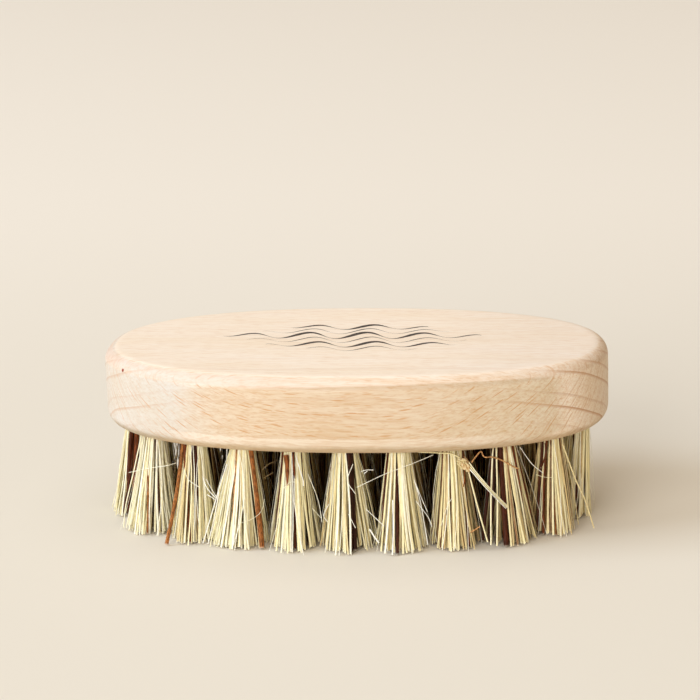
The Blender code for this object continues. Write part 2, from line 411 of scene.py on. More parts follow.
def fibre_material(name, stops, darkest, blotch, blotch_share, **shader_values):
    """Plant fibre. Its map gives each fibre a tint, and runs from 0 at the root to 1 at the tip."""
    fibre = Material(name, **shader_values)
    mapped = fibre.node("ShaderNodeUVMap", {}, uv_map="FibreMap").outputs["UV"]
    tint, down = fibre.parts(mapped)[0], fibre.parts(mapped)[1]
    place = fibre.place()
    streaks = fibre.noise(place, (4.5, 4.5, 0.22))
    mottle = fibre.noise(place, (3.0, 3.0, 1.0), detail=3.0, roughness=0.6)
    colour = fibre.ramp(tint, stops)
    shade = fibre.between(streaks, 0.36, 0.64, darkest, 1.08)
    grey = fibre.joined(shade, shade, shade)
    colour = fibre.mix(1.0, colour, grey, blend="MULTIPLY")
    colour = fibre.mix(fibre.between(mottle, 0.5, 0.64, 0.0, blotch_share), colour, blotch)
    cut_end = fibre.between(down, 0.985, 1.0, 0.0, 0.35)
    fibre.set("Base Color", fibre.mix(cut_end, colour, srgb(250, 243, 222)))
    fibre.bump(streaks, 0.03 * MM, 0.3)
    return fibre.made


def pale_fibre():
    stops = [
        (0.0, (150, 106, 60)), (0.2, (216, 188, 126)), (0.45, (248, 235, 180)),
        (0.75, (255, 246, 200)), (0.92, (255, 250, 220)), (1.0, (255, 254, 244)),
    ]
    return fibre_material("pale_fibre", stops, 0.92, srgb(236, 212, 150), 0.18,
                          Roughness=0.36, Specular_IOR_Level=0.6, Sheen_Weight=0.25)


def brown_fibre():
    stops = [
        (0.0, (40, 21, 13)), (0.35, (88, 42, 22)), (0.6, (138, 72, 34)),
        (0.85, (196, 126, 64)), (1.0, (234, 176, 116)),
    ]
    return fibre_material("brown_fibre", stops, 0.45, srgb(64, 28, 13), 0.6,
                          Roughness=0.45, Specular_IOR_Level=0.15)


def husk_material():
    husk = Material("husk", Roughness=0.62)
    folds = husk.noise(husk.place(), (2.6, 2.6, 1.4), detail=4.0, roughness=0.65)
    # darker in the hollows of the folds and paler on their crests: partly the husk's own tone, partly
    # painted shade and painted highlight
    stops = [(0.34, (166, 110, 58)), (0.46, (233, 197, 138)), (0.6, (252, 234, 190))]
    husk.set("Base Color", husk.ramp(folds, stops))
    husk.bump(folds, 0.3 * MM, 0.9)
    return husk.made


def ink_material():
    """Black ink soaked into the wood, thinner where the grain is open."""
    ink = Material("ink", Roughness=0.55)
    grain = ink.noise(ink.place(), (0.5, 7.0, 7.0))
    ink.set("Base Color", ink.ramp(grain, [(0.42, (38, 36, 38)), (0.72, (104, 88, 76))]))
    return ink.made


def floor_material():
    """Pale matte paper, painted a little lighter towards the back, as painted light."""
    floor = Material("floor", Roughness=0.9, Specular_IOR_Level=0.1)
    away = floor.between(floor.parts(floor.place())[1], 0.0, 300.0)
    floor.set("Base Color", floor.mix(away, srgb(228, 221, 207), srgb(239, 232, 220)))
    return floor.made


def outline(inset):
    """Points of the block's outline, moved in by inset, each with the way that faces outwards."""
    points = []
    for i in range(OUTLINE_STEPS):
        turn = 2 * math.pi * i / OUTLINE_STEPS
        share_x = math.copysign(abs(math.cos(turn)) ** (2 / OUTLINE_POWER), math.cos(turn))
        share_y = math.copysign(abs(math.sin(turn)) ** (2 / OUTLINE_POWER), math.sin(turn))
        point = Vector((BLOCK_HIGH.x * share_x, BLOCK_HIGH.y * share_y, 0.0))
        out = outward(point, 0.0)
        points.append((point - inset * out, out))
    return points


def outward(point, inset):
    """The way out of the block at a point of the outline that is drawn in by inset."""
    half_length = BLOCK_HIGH.x - inset
    half_width = BLOCK_HIGH.y - inset
    slope_x = math.copysign(abs(point.x / half_length) ** (OUTLINE_POWER - 1), point.x) / half_length
    slope_y = math.copysign(abs(point.y / half_width) ** (OUTLINE_POWER - 1), point.y) / half_width
    return Vector((slope_x, slope_y, 0.0)).normalized()


def block_section():
    """The block's section from its top, over the side, to its underside: how far in, and how high."""
    section = [(TOP_ROUND + FLAT_BORDER, BLOCK_TOP)]
    turns = [math.pi / 2 * i / ROUND_STEPS for i in range(ROUND_STEPS + 1)]
    for turn in turns:
        inset = TOP_ROUND * (1 - math.sin(turn))
        section.append((inset, BLOCK_TOP - TOP_ROUND * (1 - math.cos(turn))))
    side_top = BLOCK_TOP - TOP_ROUND
    side_end = UNDERSIDE + UNDER_ROUND
    section += [(0.0, side_top + (side_end - side_top) * i / SIDE_STEPS) for i in range(1, SIDE_STEPS)]
    for turn in turns:
        inset = UNDER_ROUND * (1 - math.cos(turn))
        section.append((inset, UNDERSIDE + UNDER_ROUND * (1 - math.sin(turn))))
    return section


def sanded(point):
    """How far hand sanding took the side in or left it out at a point."""
    return SANDING_WAVE * noise.noise(point / SANDING_LENGTH)


def join_rings(bm, rings):
    for upper, lower in zip(rings, rings[1:]):
        for i in range(len(upper)):
            bm.faces.new((upper[i - 1], lower[i - 1], lower[i], upper[i]))


def drill_hole(bm, place):
    """A blind hole with a slightly broken edge; returns the ring of its mouth."""
    levels = [
        (HOLE_RADIUS + HOLE_CHAMFER, UNDERSIDE),
        (HOLE_RADIUS, UNDERSIDE + HOLE_CHAMFER),
        (HOLE_RADIUS, UNDERSIDE + HOLE_DEPTH),
    ]
    rings = []
    for radius, height in levels:
        ring = []
        for i in range(HOLE_STEPS):
            turn = 2 * math.pi * i / HOLE_STEPS
            x, y = place.x + radius * math.cos(turn), place.y + radius * math.sin(turn)
            ring.append(bm.verts.new((x, y, height)))
        rings.append(ring)
    join_rings(bm, rings)
    bm.faces.new(rings[-1])
    return rings[0]


def fill_underside(bm, rim, mouths, places):
    """Triangles between the rim of the flat underside and the mouths of the holes."""
    corners, edges = [], []
    for loop in [rim, *mouths]:
        first = len(corners)
        edges += [(first + i, first + (i + 1) % len(loop)) for i in range(len(loop))]
        corners += loop
    filled = delaunay_2d_cdt([corner.co.to_2d() for corner in corners], edges, [], 1, MERGE_DISTANCE)
    triangles, sources = filled[2], filled[3]
    mouth_inside = (HOLE_RADIUS + HOLE_CHAMFER) * math.cos(math.pi / HOLE_STEPS)
    for triangle in triangles:
        found = [corners[sources[index][0]] for index in triangle]
        middle = sum((corner.co for corner in found), Vector()) / 3
        if all((middle.to_2d() - place.to_2d()).length > mouth_inside for place in places):
            bm.faces.new(found)


def build_block(plan, finish):
    bm = bmesh.new()
    rings = []
    for inset, height in block_section():
        ring = []
        for point, out in outline(inset):
            raised = Vector((point.x, point.y, height))
            rim = 0.0 if inset > min(TOP_ROUND, UNDER_ROUND) / 2 else sanded(raised)
            ring.append(bm.verts.new(raised + rim * out))
        rings.append(ring)
    join_rings(bm, rings)
    bm.faces.new(rings[0])
    places = [tuft.place for tuft in plan.values()]
    fill_underside(bm, rings[-1], [drill_hole(bm, place) for place in places], places)
    bmesh.ops.recalc_face_normals(bm, faces=bm.faces)
    mesh = mesh_of(bm, "wooden_block", finish)
    mesh.shade_smooth()
    mesh.set_sharp_from_angle(angle=SHARP_EDGE)
    finish_piece("wooden_block", mesh, ["beech_block"])


def mesh_of(bm, name, finish):
    mesh = bpy.data.meshes.new(name)
    bm.to_mesh(mesh)
    bm.free()
    mesh.materials.append(finish)
    return mesh


def finish_piece(name, mesh, stands_for=()):
    """Put a mesh in the scene as a piece of the brush, in place of the CAD nodes it stands for."""
    piece = bpy.data.objects.new(name, mesh)
    bpy.context.collection.objects.link(piece)
    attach(piece, "root")
    if stands_for:
        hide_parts(*stands_for)


class Tuft:
    """Where a CAD tuft leaves the underside, and the directions along its row and outwards."""

    def __init__(self, node):
        points = [vertex.co for vertex in node.data.vertices]
        self.place = self.middle(point for point in points if point.z > UNDERSIDE + ABOVE_UNDERSIDE)
        self.tips = self.middle(point for point in points if point.z < NEAR_TIPS)
        self.out = outward(self.place, EDGE_TO_ROW)
        self.along = Vector((-self.out.y, self.out.x, 0.0))

    @staticmethod
    def middle(points):
        found = list(points)
        total = sum(found, Vector())
        return Vector((total.x / len(found), total.y / len(found), 0.0))

    def at(self, along, out, height):
        """A point beside the tuft's hole: millimetres along the row, outwards, and above the floor."""
        raised = self.place + Vector((0.0, 0.0, height * MM))
        return raised + along * MM * self.along + out * MM * self.out


class Strands:
    """Fibres that are collected into one mesh."""

    def __init__(self):
        self.points = []
        self.faces = []
        self.finishes = []
        self.maps = []

    def add(self, path, widths, sides, finish, tint, flat=1.0, flat_way=None):
        """A fibre along a path. Flat squeezes its section, across the way that flat_way points."""
        first = len(self.points)
        for i, point in enumerate(path):
            ahead = path[min(i + 1, len(path) - 1)] - path[max(i - 1, 0)]
            side = ahead.cross(flat_way or SECTION_WAY).normalized()
            face_way = side.cross(ahead).normalized()
            for k in range(sides):
                turn = 2 * math.pi * k / sides
                offset = math.cos(turn) * side + flat * math.sin(turn) * face_way
                self.points.append(point + widths[i] / 2 * offset)
        last = len(path) - 1
        for i in range(last):
            for k in range(sides):
                following = (k + 1) % sides
                low = first + i * sides
                corners = (low + k, low + following, low + sides + following, low + sides + k)
                self.face(corners, finish, tint, (i / last, i / last, (i + 1) / last, (i + 1) / last))
        self.face(tuple(first + k for k in range(sides))[::-1], finish, tint, (0.0,) * sides)
        end = first + last * sides
        self.face(tuple(end + k for k in range(sides)), finish, tint, (1.0,) * sides)

    def face(self, corners, finish, tint, downs):
        self.faces.append(corners)
        self.finishes.append(finish)
        for down in downs:
            self.maps += (tint, down)

    def mesh(self, name, materials):
        made = bpy.data.meshes.new(name)
        made.from_pydata(self.points, [], self.faces)
        for finish in materials:
            made.materials.append(finish)
        made.polygons.foreach_set("material_index", self.finishes)
        made.uv_layers.new(name="FibreMap").data.foreach_set("uv", self.maps)
        made.shade_smooth()
        made.set_sharp_from_angle(angle=SHARP_FIBRE)
        return made


# What the photograph shows of the front tufts, from left to right. Lean and spread are in
# millimetres: lean is along the row and outwards, spread is half the width of the tips along the
# row and outwards. The tint is that of the outermost pale fibres: partly their own colour and
# partly painted shade, darker on the tufts towards the right. A crowd above 1 is a tuft that
# holds more fibres than the others. A stalk is its root along and out, its tip along and
# out, its width, and its tint from dark (0) to light (1).
Look = namedtuple("Look", "lean spread tint crowd stalks")
FRONT_LOOKS = {
    "outer_tuft_17": Look((1.7, 0.0), (5.0, 5.1), 0.84, 1.0, [
        (1.7, 1.0, 4.4, 2.7, 0.9, 0.38), (2.0, 0.1, 5.0, 1.6, 1.0, 0.56),
        (1.2, -0.8, 3.8, 0.6, 0.8, 0.2)]),
    "outer_tuft_18": Look((0.6, 1.4), (4.9, 5.0), 0.95, 1.4, [
        (0.1, 2.0, 3.9, 6.2, 0.38, 0.78), (1.6, 1.0, 4.9, 3.6, 0.5, 0.30),
        (-1.6, 1.4, -1.6, 3.6, 0.4, 0.16)]),
    "outer_tuft_19": Look((0.1, 1.2), (4.9, 5.2), 0.68, 1.0, [
        (-1.7, 1.6, -2.3, 8.8, 0.72, 0.82), (-1.0, 2.0, 1.6, 6.2, 0.75, 0.52),
        (-2.0, 0.2, -3.6, 3.2, 0.8, 0.10), (1.2, 1.9, 2.4, 4.8, 0.6, 0.22),
        (0.5, 1.9, 1.4, 5.8, 0.5, 0.35)]),
    "outer_tuft_20": Look((-0.8, 0.9), (5.9, 5.2), 0.78, 1.6, [
        (2.0, 1.0, 5.1, 5.4, 1.0, 0.76), (-0.4, 2.1, -1.0, 6.4, 0.35, 0.95)]),
    "outer_tuft_21": Look((-0.3, 0.9), (4.9, 5.2), 0.76, 1.0, [
        (0.4, 1.9, 0.8, 5.6, 0.5, 0.36), (-1.8, 0.9, -3.8, 3.2, 0.6, 0.40),
        (1.6, 1.2, 3.2, 3.8, 0.5, 0.28)]),
    "outer_tuft_01": Look((0.3, 0.9), (5.3, 5.3), 0.76, 1.2, [
        (0.9, 1.9, 1.2, 6.4, 0.85, 0.14), (1.3, 1.3, 2.0, 5.4, 0.8, 0.10),
        (-2.0, 0.2, -4.6, 1.8, 0.5, 0.6)]),
    "outer_tuft_02": Look((0.1, 0.7), (4.9, 5.2), 0.66, 1.0, [
        (-0.4, 1.5, -0.5, 7.2, 0.6, 0.3), (1.0, 0.6, 1.4, 4.6, 0.5, 0.16),
        (-1.9, 1.0, -3.6, 4.4, 0.4, 0.4)]),
    "outer_tuft_03": Look((0.0, 0.4), (4.6, 5.2), 0.42, 1.0, [
        (-1.8, 1.2, -3.0, 4.8, 0.45, 0.55), (1.9, 1.2, 2.4, 5.4, 0.5, 0.45)]),
    "outer_tuft_04": Look((0.9, 0.2), (5.3, 5.2), 0.48, 1.0, [
        (-1.2, 1.8, -1.6, 6.0, 1.05, 0.34), (-0.8, 1.2, -0.9, 5.0, 0.8, 0.26),
        (1.2, 1.8, 3.0, 5.0, 0.45, 0.50), (1.9, 0.6, 5.2, 2.6, 0.45, 0.45),
        (-2.0, 0.9, -4.4, 3.4, 0.7, 0.12), (-2.1, 0.1, -5.2, 2.2, 0.6, 0.2),
        (-1.5, 1.4, -3.2, 4.6, 0.5, 0.1)]),
    "outer_tuft_05": Look((-0.8, -0.3), (4.5, 4.8), 0.41, 1.0, [
        (-1.8, 1.0, -4.2, 2.6, 0.45, 0.50), (-1.2, 1.6, -2.6, 4.6, 0.3, 0.70),
        (-2.0, 0.2, -4.8, 1.4, 0.5, 0.3), (0.4, 2.0, 0.6, 5.0, 0.25, 0.6)]),
    "outer_tuft_06": Look((0.0, -2.2), (4.7, 3.6), 0.64, 1.0, [
        (-1.9, -0.4, -4.2, 0.4, 0.6, 0.35)]),
    "outer_tuft_07": Look((0.0, -1.8), (4.7, 4.0), 0.45, 1.0, [
        (1.4, 1.2, 2.4, 2.4, 0.5, 0.40), (-1.0, 1.6, -1.8, 2.8, 0.4, 0.60)]),
}


def scattered_look(chance, brown_stalks, tint):
    """The look of a tuft that the photograph doesn't show clearly."""
    stalks = []
    for _ in range(brown_stalks):
        turn = chance.uniform(0.0, 2 * math.pi)
        share = math.sqrt(chance.random()) * 0.85
        root = Vector((math.cos(turn), math.sin(turn))) * share * ROOT_RADIUS / MM
        tip = root * chance.uniform(2.0, 2.4)
        width, stalk_tint = chance.uniform(0.45, 1.0), chance.triangular(0.0, 0.9, 0.3)
        stalks.append((*root, *tip, width, stalk_tint))
    lean = (chance.uniform(-0.5, 0.5), chance.uniform(-0.2, 0.4))
    spread = (chance.uniform(4.6, 5.4), chance.uniform(4.7, 5.2))
    return Look(lean, spread, tint, 1.0, stalks)


def fibre_kind(chance, share, tint):
    """Finish and tint of a fibre at a share of the tuft's radius: the inside is painted darker, as painted
    shade, and holds more brown fibres, partly a browner mix and partly painted shade.
    """
    inside = max(0.0, 1.0 - SHELL_SHARE - share)
    if chance.random() < INSIDE_BROWN_AND_SHADE * inside:
        return BROWN, chance.uniform(0.05, 0.5)
    pale_tint = chance.gauss(tint, TINT_SPREAD) - INSIDE_PAINTED_SHADE * inside
    return PALE, min(LIGHTEST_FIBRE, max(0.0, pale_tint))


def fibre_path(root, tip, bow):
    """From the bottom of the hole straight down to its mouth, and from there to the cut tip."""
    path = [Vector((root.x, root.y, ROOT_TOP))]
    mouth = Vector((root.x, root.y, UNDERSIDE))
    for i in range(FIBRE_STEPS + 1):
        share = i / FIBRE_STEPS
        flared = mouth.lerp(tip, share ** FLARE)
        flared.z = mouth.z + share * (tip.z - mouth.z)
        path.append(flared + math.sin(math.pi * share) * bow)
    return path


def jitter(chance, size):
    return Vector((chance.gauss(0, size), chance.gauss(0, size), 0.0))


def uneven_widths(width, count, chance, share):
    return [width * (1 + chance.uniform(-share, share)) for _ in range(count)]


def build_tuft(name, tuft, look, fibre_count, materials, chance):
    strands = Strands()
    lean_along, lean_out = (MM * value for value in look.lean)
    spread_along, spread_out = (MM * value for value in look.spread)
    tip_middle = tuft.tips + lean_along * tuft.along + lean_out * tuft.out
    stalk_roots = []
    for root_along, root_out, tip_along, tip_out, width, tint in look.stalks:
        root = tuft.at(root_along, root_out, 0.0)
        tip = tuft.at(tip_along, tip_out, chance.uniform(0.2, 0.5))
        path = fibre_path(root, tip, jitter(chance, BOW))
        widths = uneven_widths(width * MM, len(path), chance, STALK_UNEVEN)
        strands.add(path, widths, STALK_SIDES, BROWN, tint, chance.uniform(0.7, 1.0))
        stalk_roots.append((root, width * MM / 2))
    fibre_count = int(fibre_count * look.crowd)
    for i in range(fibre_count + HAIRS):
        is_hair = i >= fibre_count
        share = 1.0 if is_hair else ((i + 0.5) / fibre_count) ** RIM_CROWDING
        turn = i * GOLDEN_ANGLE + chance.uniform(-0.2, 0.2)
        unit_along, unit_out = share * math.cos(turn), share * math.sin(turn)
        facing = unit_along * tuft.along + unit_out * tuft.out
        root = tuft.place + ROOT_RADIUS * facing
        width = MM * (chance.uniform(*HAIR_WIDTHS_MM) if is_hair else chance.triangular(*FIBRE_WIDTHS_MM))
        if any((root - taken).length < radius + width * 0.3 for taken, radius in stalk_roots):
            continue
        reach = chance.gauss(*(HAIR_REACH if is_hair else FIBRE_REACH))
        if chance.random() < STRAY_SHARE:
            reach *= STRAY_REACH
        turned = turn + chance.gauss(0, TWIST)
        tip_along = reach * share * math.cos(turned) * spread_along
        tip_out = reach * share * math.sin(turned) * spread_out
        tip = tip_middle + tip_along * tuft.along + tip_out * tuft.out
        tip += jitter(chance, TIP_JITTER)
        tip.z = chance.triangular(SHORTEST_TIP, LONGEST_TRIM, SHORTEST_TIP)
        path = fibre_path(root, tip, jitter(chance, HAIR_BOW if is_hair else BOW))
        finish, tint = (PALE, HAIR_TINT) if is_hair else fibre_kind(chance, share, look.tint)
        widths = uneven_widths(width, len(path), chance, FIBRE_UNEVEN)
        strands.add(path, widths, FIBRE_SIDES, finish, tint, chance.uniform(0.4, 0.75), facing)
    finish_piece(name + "_fibres", strands.mesh(name + "_fibres", materials), [name])


# Loose hairs and straws at the front, each as its finish, tint and width in millimetres, and the
# points that it passes. A point is the number of the tuft that it lies on, where it shows in the
# photograph in pixels across and down, and how far it stands off the tuft's leaning front in
# millimetres. All the points were picked one by one.
LOOSE_FIBRES = {
    "hair_left": (PALE, 0.95, 0.13, [
        (18, 129, 472.5, 0.4), (18, 150, 468, 0.4), (18, 165, 466, 0.4), (19, 176, 463, -0.3)]),
    "hair_left_edge": (PALE, 0.9, 0.24, [
        (18, 141, 437, 0.1), (18, 134, 470, 0.3), (18, 126, 505, 0.3), (18, 123.5, 528, 0.3)]),
    "hair_crossing_one": (PALE, 0.95, 0.13, [
        (19, 184.5, 470, 0.4), (19, 188, 479, 0.5), (19, 195, 484.5, 0.5), (19, 200, 487.5, 0.4)]),
    "hair_crossing_two": (PALE, 1.0, 0.17, [
        (19, 203, 477, 0.4), (19, 206, 486, 0.5), (20, 211, 493, 0.5), (20, 216, 498, 0.5)]),
    "hair_crossing_three": (PALE, 1.0, 0.13, [
        (19, 206, 479, 0.4), (19, 211, 488, 0.5), (20, 216.5, 497, 0.5)]),
    "hair_crossing_four": (PALE, 1.0, 0.14, [
        (19, 207, 494.5, 0.4), (20, 212, 497.5, 0.5), (20, 216, 500.5, 0.5)]),
    "hair_twisted": (PALE, 1.0, 0.22, [
        (20, 227, 464, 0.1), (20, 222, 479, 0.3), (20, 217, 496, 0.3), (20, 210, 520, 0.3),
        (20, 203, 543, 0.2)]),
    "hair_twisted_end": (PALE, 1.0, 0.2, [(20, 219, 492, 0.4), (20, 214, 520, 0.4), (20, 208, 544, 0.3)]),
    "hair_looped": (PALE, 0.9, 0.09, [
        (20, 241, 523, 0.5), (20, 250, 520, 0.5), (20, 259, 514, 0.6), (20, 263, 507, 0.6),
        (21, 264.5, 499, 0.4)]),
    "hair_arc_upper": (PALE, 0.1, 0.06, [
        (21, 262, 470, -1.0), (21, 268, 464.5, -1.0), (21, 277, 460.5, 0.0)]),
    "hair_arc_lower": (PALE, 0.1, 0.06, [(21, 263, 478.5, -1.0), (21, 273, 472.5, 0.0)]),
    "stalk_torn": (BROWN, 0.66, 0.9, [(21, 286, 455, 0.3), (21, 287.5, 469, 0.1), (21, 287, 486, 0.5)]),
    "stalk_torn_short": (BROWN, 0.5, 0.4, [(21, 293, 455, 0.3), (21, 295, 479, 0.2)]),
    "hair_bent": (PALE, 1.0, 0.2, [
        (21, 296, 456, 0.4), (21, 299.5, 468, 0.4), (21, 303, 480, 0.4), (21, 303.5, 486, 0.4)]),
    "hair_net": (PALE, 0.95, 0.12, [(21, 283, 489, 0.4), (21, 290, 482.5, 0.5), (21, 295, 482, 0.5)]),
    "hair_leaning": (PALE, 0.95, 0.12, [(21, 308, 474, 0.0), (21, 318, 500, 0.0), (21, 322, 522, 0.0)]),
    "hair_branch": (PALE, 0.9, 0.1, [(21, 312, 508, 0.0), (21, 321, 518, 0.0)]),
    "hair_hooked": (PALE, 1.0, 0.16, [(1, 329, 504, 0.3), (1, 323.7, 515, 0.3), (1, 327.5, 522, 0.3)]),
    "hair_kinked": (PALE, 0.98, 0.15, [(1, 353, 464, 0.5), (1, 347.6, 480.5, 0.6), (1, 355.5, 494, 0.5)]),
    "hair_low": (PALE, 0.98, 0.13, [(1, 348.5, 514, 0.5), (1, 355.5, 528, 0.5)]),
    "hair_bridge": (PALE, 1.0, 0.16, [(1, 366, 509, 0.3), (2, 375, 517.5, 0.3), (2, 384, 526, 0.4)]),
    "hair_thick": (PALE, 1.0, 0.3, [(1, 369.5, 529, 0.3), (1, 374, 536, 0.3), (1, 379, 543, 0.3)]),
    "hair_short": (PALE, 1.0, 0.15, [(1, 360.5, 472, 0.3), (1, 366, 470, 0.3), (1, 373.5, 470, 0.3)]),
    "hair_short_branch": (PALE, 1.0, 0.13, [(1, 364, 474, 0.3), (1, 367.5, 470.8, 0.3)]),
    "straw_middle": (PALE, 0.97, 0.12, [
        (1, 356.5, 487.5, 0.4), (2, 384, 474.5, 0.5), (2, 401, 468, 0.5), (2, 420, 460.5, 0.5),
        (3, 433, 455, 0.3)]),
    "straw_to_husk": (PALE, 0.46, 0.26, [
        (2, 418, 452, -0.3), (3, 440, 453, 0.2), (3, 452, 454, 0.5), (3, 460, 458, 0.6)]),
    "hair_beside_long": (PALE, 1.0, 0.14, [(2, 414, 480, 0.1), (2, 420, 500, 0.2), (2, 428, 545, 0.2)]),
    "hair_beside_short": (PALE, 1.0, 0.12, [(2, 415, 482, 0.1), (2, 421, 497, 0.1), (2, 427.5, 512, 0.1)]),
    "hair_beside_low": (PALE, 1.0, 0.14, [(2, 416, 501, 0.2), (2, 428, 517, 0.2), (2, 432, 527, 0.2)]),
    "straw_white": (PALE, 1.0, 0.34, [(2, 393, 500, 0.5), (2, 393.5, 530, 0.5), (2, 392.5, 555, 0.5)]),
    "hair_bowed": (PALE, 0.95, 0.11, [(3, 441, 526, 0.3), (3, 447, 507, 0.4), (3, 452, 498, 0.5)]),
    "orange_fibre": (BROWN, 1.0, 0.28, [
        (3, 471.5, 462.5, 1.0), (3, 476, 456.5, 0.8), (4, 480.8, 451.5, 0.2), (4, 483, 455.5, 0.3),
        (4, 485.5, 457.3, 0.5), (4, 492, 457, 0.5), (4, 500, 459.5, 0.5), (4, 508, 463.5, 0.5),
        (4, 513, 466.5, 0.4), (4, 519, 469, 0.3)]),
    "orange_tip": (BROWN, 0.95, 0.28, [(3, 470.5, 532.5, 0.3), (3, 480, 526.5, 0.3)]),
    "hair_right": (PALE, 1.0, 0.12, [
        (4, 520, 447, 0.0), (5, 526, 456, -0.5), (5, 533, 465, 0.3), (5, 543, 473, 0.4)]),
    "hair_faint": (PALE, 0.8, 0.1, [(5, 536, 474.5, 0.3), (5, 544, 477, 0.4), (5, 553, 477.5, 0.3)]),
    "stalk_bent": (BROWN, 0.4, 0.34, [(5, 545.3, 443, 0.4), (5, 545.5, 455, 0.4), (5, 541, 468, 0.4)]),
    "straw_right": (PALE, 0.34, 0.28, [
        (5, 562.5, 444, 0.2), (5, 575, 478, 0.4), (5, 585, 500, 0.3), (5, 594, 528, 0.3)]),
    "straw_beside_husk": (PALE, 0.6, 0.3, [(3, 468.7, 472, 0.2), (3, 478, 508, 0.3), (3, 487.7, 542, 0.3)]),
    "straw_upright_one": (PALE, 0.8, 0.32, [
        (4, 494, 443, -1.2), (4, 492.5, 456, 0.0), (4, 491, 500, 0.2), (4, 491, 545, 0.2)]),
    "straw_upright_two": (PALE, 0.7, 0.36, [
        (4, 496.5, 444, -0.8), (4, 496.5, 456, 0.0), (4, 497.5, 500, 0.2), (4, 497, 546, 0.2)]),
    "stalk_below_husk": (BROWN, 0.7, 0.2, [(3, 465, 470, 0.3), (3, 464.5, 478, 0.5), (3, 463.5, 487, 0.5)]),
}

LOOSE_SIDES = 6
PATH_STEPS = 6

# A tuft's leaning front, on which the loose fibres lie: how far out of the tuft's hole it meets the
# floor, and how much nearer it is for each step up. No loose fibre goes lower than the lowest
FRONT_REACH = 7.0 * MM
FRONT_SLOPE = (FRONT_REACH - ROOT_RADIUS) / UNDERSIDE
LOWEST_LOOSE = 0.3 * MM

# A torn stalk narrows to its end by this much at each step of its path
TORN_STALKS = ("stalk_torn", "stalk_torn_short")
TORN_TAPER = 0.14 * MM

# The torn husk on the third tuft, and the flat straw that hangs from it, placed like loose fibres
HUSK_AT = (3, 465.5, 464.5, 0.9)
HUSK_HALF_MM = (1.0, 0.8, 1.25)
HUSK_RIBBON = [
    (3, 467.5, 463.5, 1.2), (3, 475, 473, 1.6), (3, 487, 487, 1.8), (4, 498, 498.5, 1.4),
    (4, 507, 507.5, 0.6),
]
# The straw's width at each of its points
RIBBON_WIDTHS_MM = (0.95, 0.74, 0.68, 0.66, 0.68)
# The straw's lengthwise strips: finish, tint, and place across and width as shares of its width
RIBBON_STRIPS = [
    (PALE, 0.98, 0.38, 0.26), (BROWN, 0.1, 0.2, 0.16), (PALE, 0.5, 0.0, 0.32),
    (BROWN, 0.2, -0.19, 0.14), (PALE, 0.8, -0.36, 0.28),
]
RIBBON_WAY = Vector((0.0, -1.0, 0.3))
RIBBON_FLAT = 0.6
HUSK_FOLDS = 9
HUSK_SLANT = 0.4

# The husk's torn wisps: where they start on its front, how far each reaches along x, y and z, how
# its middle bends, and its widths from start to end
HUSK_WISPS = 18
WISP_ACROSS_MM = (-0.9, 0.5)
WISP_FRONT_MM = -0.6
WISP_UP_MM = (-0.6, 1.0)
WISP_REACH_MM = ((-1.1, 0.1), (-0.4, 0.2), (0.1, 1.1))
WISP_BEND_MM = -0.2
WISP_RISE_MM = (-0.2, 0.3)
WISP_WIDTHS_MM = (0.26, 0.22, 0.08)


def in_front(plan, point):
    """The place off a tuft's leaning front that the camera sees where the photograph shows it."""
    number, across, down, lift = point
    tuft = plan[f"outer_tuft_{number:02d}"]
    eye, right, up, forward = camera_axes()
    middle = PICTURE_PIXELS / 2
    way = forward + (across - middle) / FOCAL_PIXELS * right - (down - middle) / FOCAL_PIXELS * up
    facing = tuft.out + Vector((0.0, 0.0, FRONT_SLOPE))
    to_front = (FRONT_REACH + lift * MM - facing.dot(eye - tuft.place)) / facing.dot(way)
    to_lowest = (LOWEST_LOOSE - eye.z) / way.z
    return eye + min(to_front, to_lowest) * way


def smooth_path(points):
    """A path of short steps through the points, as a Catmull-Rom curve."""
    guides = [2 * points[0] - points[1], *points, 2 * points[-1] - points[-2]]
    path = []
    for before, start, end, after in zip(guides, guides[1:], guides[2:], guides[3:]):
        handles = start + (end - before) / 6, end - (after - start) / 6
        path += interpolate_bezier(start, *handles, end, PATH_STEPS + 1)[:-1]
    path.append(points[-1])
    return path


def build_loose_fibres(plan, materials, chance):
    for name, (finish, tint, width, points) in LOOSE_FIBRES.items():
        strands = Strands()
        path = smooth_path([in_front(plan, point) for point in points])
        widths = uneven_widths(width * MM, len(path), chance, LOOSE_UNEVEN)
        if name in TORN_STALKS:
            widths = [min(full, TORN_TAPER * (len(path) - i)) for i, full in enumerate(widths)]
        strands.add(path, widths, LOOSE_SIDES, finish, tint)
        finish_piece(name, strands.mesh(name, materials))


def build_husk(centre, finish):
    """A papery husk, folded lengthwise and rippled."""
    bm = bmesh.new()
    bmesh.ops.create_icosphere(bm, subdivisions=4, radius=1.0)
    for vertex in bm.verts:
        uneven = noise.noise(vertex.co * 1.7)
        fold = abs(math.sin(HUSK_FOLDS / 2 * math.atan2(vertex.co.x, vertex.co.y) + 3 * uneven))
        ripple = 0.88 + 0.34 * uneven + 0.2 * fold + 0.12 * noise.noise(vertex.co * 5.0)
        shaped = Vector(size * MM * value for size, value in zip(HUSK_HALF_MM, vertex.co * ripple))
        shaped.x -= HUSK_SLANT * shaped.z
        vertex.co = centre + shaped
    mesh = mesh_of(bm, "husk", finish)
    mesh.shade_smooth()
    finish_piece("husk", mesh)


